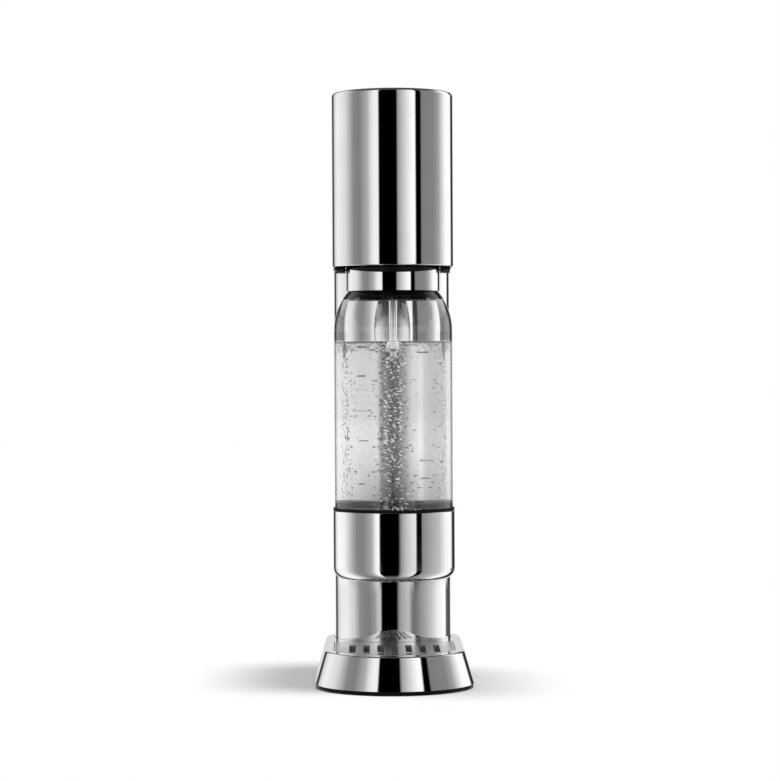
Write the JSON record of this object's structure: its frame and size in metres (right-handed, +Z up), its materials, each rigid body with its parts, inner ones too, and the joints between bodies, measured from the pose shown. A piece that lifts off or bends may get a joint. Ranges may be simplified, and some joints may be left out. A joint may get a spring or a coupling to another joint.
{
  "type": "sparkling water maker",
  "caption": "Free-standing sparkling water maker with a polished obround base, column and head, a bottle in a tilting holder, a flush press lever and a gas cylinder in the column.",
  "frame": {"origin": "on the floor, at the middle of the base, midway between the bottle's axis and the column's axis", "axes": "+Z up, +X to the machine's right as seen from the front, +Y from the bottle back to the column"},
  "size_m": [0.113, 0.204, 0.421],
  "materials": {
    "polished_steel": "mirror polished stainless steel",
    "satin_steel": "satin stainless steel",
    "plain_steel": "plain machined steel",
    "black_plastic": "moulded black plastic",
    "rubber": "matt black rubber",
    "clear_plastic": "clear",
    "brass": "turned",
    "block_metal": "die cast",
    "cylinder_metal": "satin aluminium"
  },
  "bodies": {
    "machine": {"foot_ring": "rubber", "base_plate": "black_plastic", "base_screws": "plain_steel", "base_skirt": "polished_steel", "column_shell": "polished_steel", "chassis": "black_plastic", "cylinder_seat": "rubber", "head_frame": "black_plastic", "chassis_screws": "plain_steel", "head_shell": "polished_steel", "head_floor": "black_plastic", "floor_screws": "plain_steel", "tilt_pins": "plain_steel", "lever_pin": "plain_steel", "lever_spring": "plain_steel", "plunger_seal": "rubber", "plunger_spring": "plain_steel", "cylinder_seal": "rubber", "valve_block": "block_metal", "block_screws": "plain_steel", "relief_body": "brass", "relief_ball": "plain_steel", "relief_spring": "plain_steel", "relief_cap": "brass", "outlet_fitting": "brass", "gas_hose": "rubber"},
    "lever_unit": {"lever_cap": "polished_steel", "lever_arm": "black_plastic"},
    "plunger_unit": {"plunger": "plain_steel", "valve_stem": "brass"},
    "cylinder_unit": {"gas_cylinder": "cylinder_metal", "cylinder_valve": "brass"},
    "cover_unit": {"rear_cover": "polished_steel"},
    "holder_unit": {"neck_collar": "polished_steel", "nozzle_carrier": "black_plastic", "mouth_seal": "rubber", "nozzle_tube": "plain_steel", "nozzle_tip": "plain_steel", "inlet_fitting": "brass", "inlet_screws": "plain_steel"},
    "bottle_unit": {"bottle_body": "clear_plastic", "bottle_cup": "polished_steel", "cup_ring": "rubber"},
    "tray_unit": {"drip_tray": "satin_steel"},
    "grille_unit": {"drip_grille": "satin_steel"}
  },
  "joints": [
    {"name": "lever_press", "type": "hinge", "parent": "machine", "child": "lever_unit", "pos_m": [0, 0.0715, 0.4109], "axis": [1, 0, 0], "range_deg": [0, 3.5], "stiffness_Nm_per_rad": 8, "springref_deg": -8.59, "deforming": ["lever_spring"]},
    {"name": "plunger_push", "type": "slide", "parent": "machine", "child": "plunger_unit", "axis": [0, 0, -1], "range_m": [0, 0.0018], "deforming": ["plunger_spring"]},
    {"name": "cylinder_turn", "type": "hinge", "parent": "machine", "child": "cylinder_unit", "pos_m": [0, 0.0455, 0.2], "axis": [0, 0, 1], "range_deg": [-540, 0]},
    {"name": "cover_pull", "type": "slide", "parent": "machine", "child": "cover_unit", "axis": [0, 1, 0], "range_m": [0, 0.06]},
    {"name": "holder_tilt", "type": "hinge", "parent": "machine", "child": "holder_unit", "pos_m": [0, -0.0455, 0.2995], "axis": [-1, 0, 0], "range_deg": [0, 25], "deforming": ["gas_hose"]},
    {"name": "bottle_draw", "type": "slide", "parent": "holder_unit", "child": "bottle_unit", "axis": [0, 0, -1], "range_m": [0, 0.03]},
    {"name": "tray_lift", "type": "slide", "parent": "machine", "child": "tray_unit", "axis": [0, 0, 1], "range_m": [0, 0.007]},
    {"name": "grille_lift", "type": "slide", "parent": "tray_unit", "child": "grille_unit", "axis": [0, 0, 1], "range_m": [0, 0.007]}
  ],
  "couplings": [
    {"joint": "plunger_push", "follows": "lever_press", "m_per_rad": 0.026}
  ]
}
